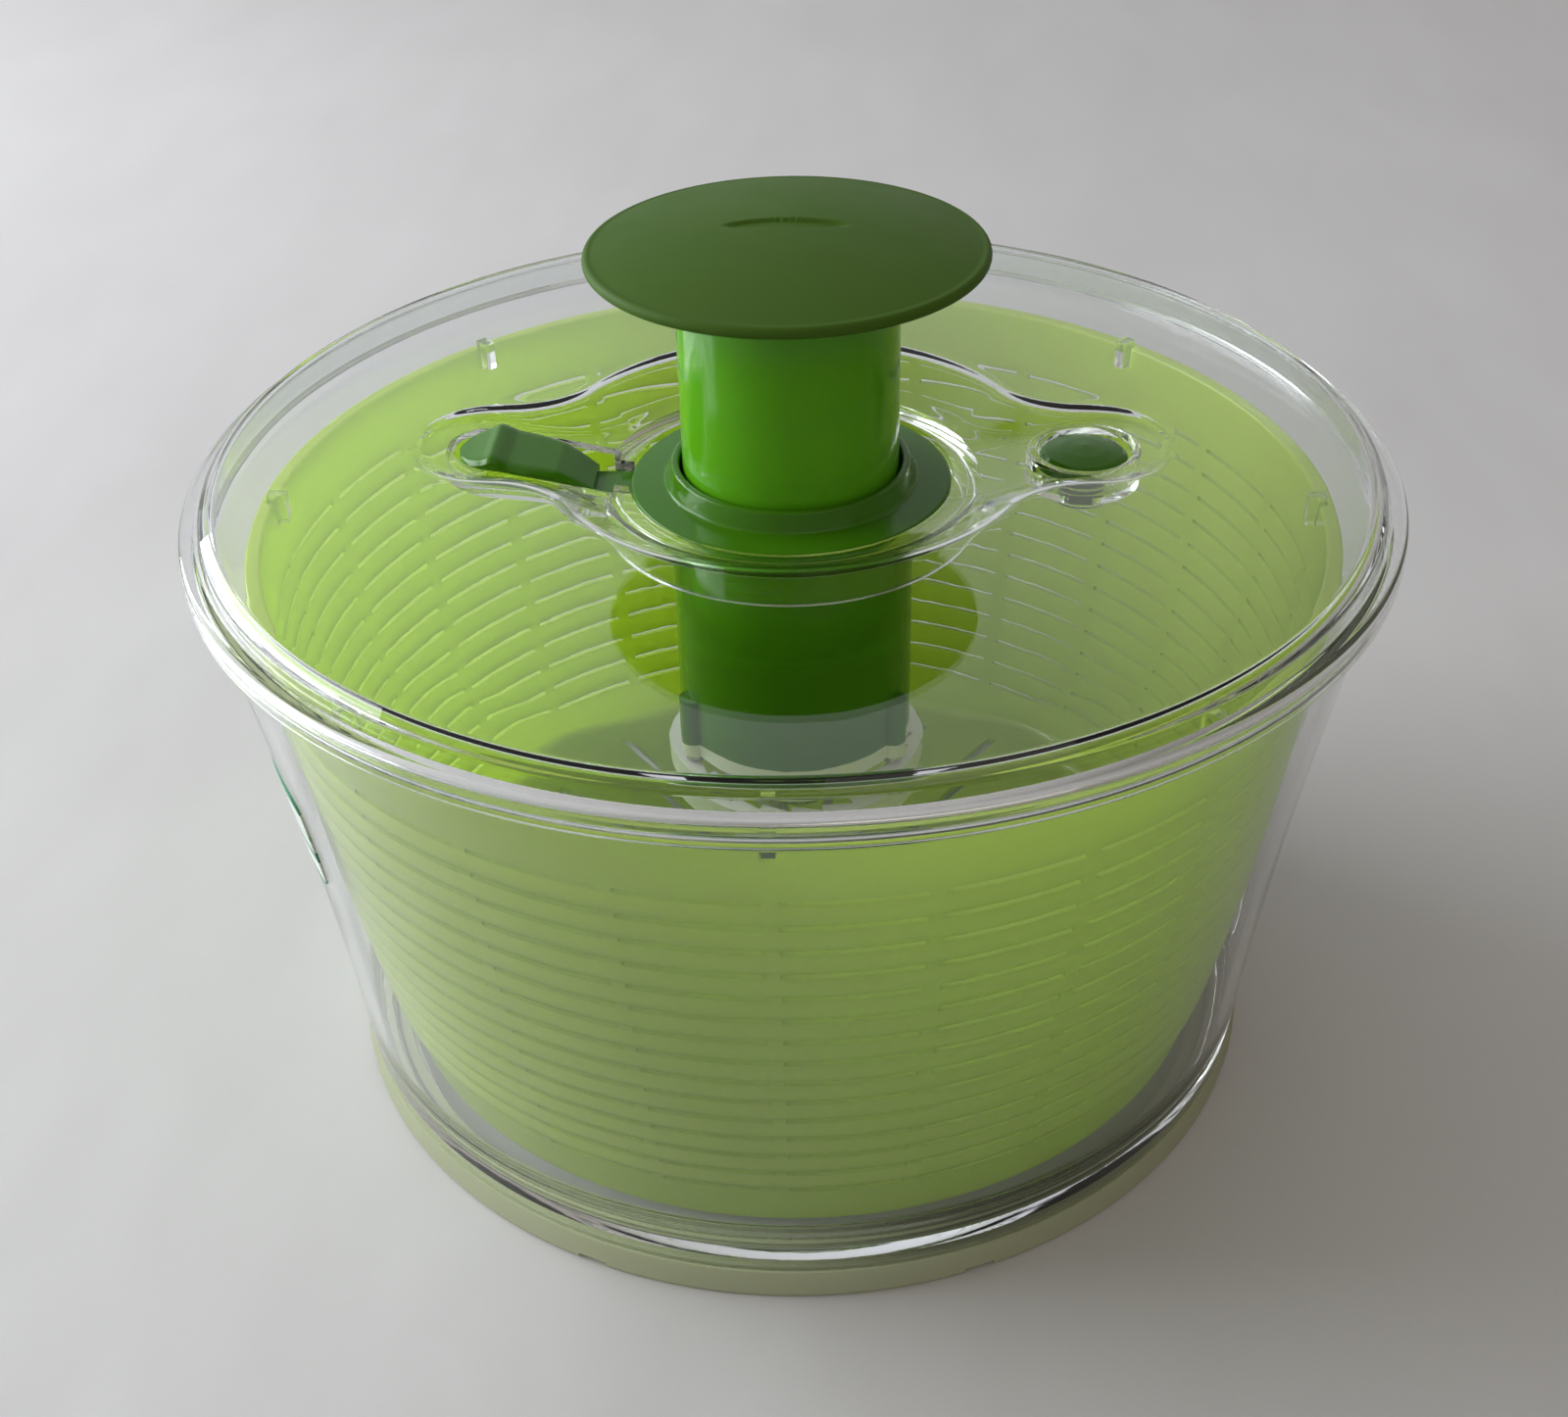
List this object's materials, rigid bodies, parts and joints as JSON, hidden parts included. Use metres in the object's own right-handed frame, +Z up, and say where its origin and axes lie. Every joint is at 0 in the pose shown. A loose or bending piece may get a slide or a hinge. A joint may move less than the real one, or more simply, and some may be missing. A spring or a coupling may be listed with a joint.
{
  "type": "salad spinner",
  "caption": "Pump-action salad spinner: clear bowl, slotted green basket and clear lid with a push knob, a brake button and a knob lock.",
  "frame": {"origin": "centre of the foot ring's underside, on the table and on the spin axis", "axes": "+Z up along the spin axis and the pump, +X towards the brake button, -X towards the lock slider"},
  "size_m": [0.2666, 0.2666, 0.201],
  "materials": {
    "clear_plastic": "clear, polished",
    "foot_tpe": "translucent, satin",
    "label": "printed film",
    "basket_green": "translucent, semi-gloss",
    "green_gloss": "polished",
    "green_soft": "soft touch",
    "white_acetal": "satin",
    "steel": "bright drawn",
    "pad_rubber": "matt"
  },
  "bodies": {
    "bowl": {"bowl": "clear_plastic", "bowl_foot_ring": "foot_tpe", "bowl_label": "label"},
    "basket": {"basket": "basket_green"},
    "lid": {"lid": "clear_plastic", "bezel": "green_gloss", "mechanism_base": "white_acetal", "base_screws": "steel", "screw_bush": "white_acetal", "thrust_washer": "white_acetal", "return_spring": "steel", "brake_spring": "steel"},
    "knob": {"knob_grip": "green_soft", "knob_plate": "green_gloss", "knob_screws": "steel", "plunger": "green_gloss", "drive_nut": "white_acetal"},
    "drive_screw": {"drive_screw": "steel", "clutch_hub": "white_acetal", "disc_retainer": "steel"},
    "drive_disc": {"drive_disc": "clear_plastic", "ratchet_ring": "white_acetal"},
    "brake_button": {"brake_button": "green_gloss", "brake_pad": "pad_rubber"},
    "lock_slider": {"lock_slider": "green_gloss"}
  },
  "joints": [
    {"name": "lid_lift", "type": "slide", "parent": "bowl", "child": "lid", "axis": [0, 0, 1], "range_m": [0, 0.16]},
    {"name": "basket_spin", "type": "hinge", "parent": "bowl", "child": "basket", "pos_m": [0, 0, 0.02], "axis": [0, 0, 1], "continuous": true},
    {"name": "disc_spin", "type": "hinge", "parent": "lid", "child": "drive_disc", "pos_m": [0, 0, 0.06], "axis": [0, 0, 1], "continuous": true},
    {"name": "knob_press", "type": "slide", "parent": "lid", "child": "knob", "axis": [0, 0, -1], "range_m": [0, 0.04], "stiffness_N_per_m": 200, "springref_m": -0.015, "deforming": ["return_spring"]},
    {"name": "screw_spin", "type": "hinge", "parent": "lid", "child": "drive_screw", "pos_m": [0, 0, 0.08], "axis": [0, 0, 1], "range_deg": [0, 480.1]},
    {"name": "brake_press", "type": "slide", "parent": "lid", "child": "brake_button", "axis": [0, 0, -1], "range_m": [0, 0.004], "stiffness_N_per_m": 300, "springref_m": -0.002, "deforming": ["brake_spring"]},
    {"name": "lock_slide", "type": "slide", "parent": "lid", "child": "lock_slider", "axis": [1, 0, 0], "range_m": [0, 0.004]}
  ],
  "couplings": [
    {"joint": "disc_spin", "follows": "basket_spin", "ratio": 1},
    {"joint": "screw_spin", "follows": "knob_press", "rad_per_m": 209.44}
  ]
}
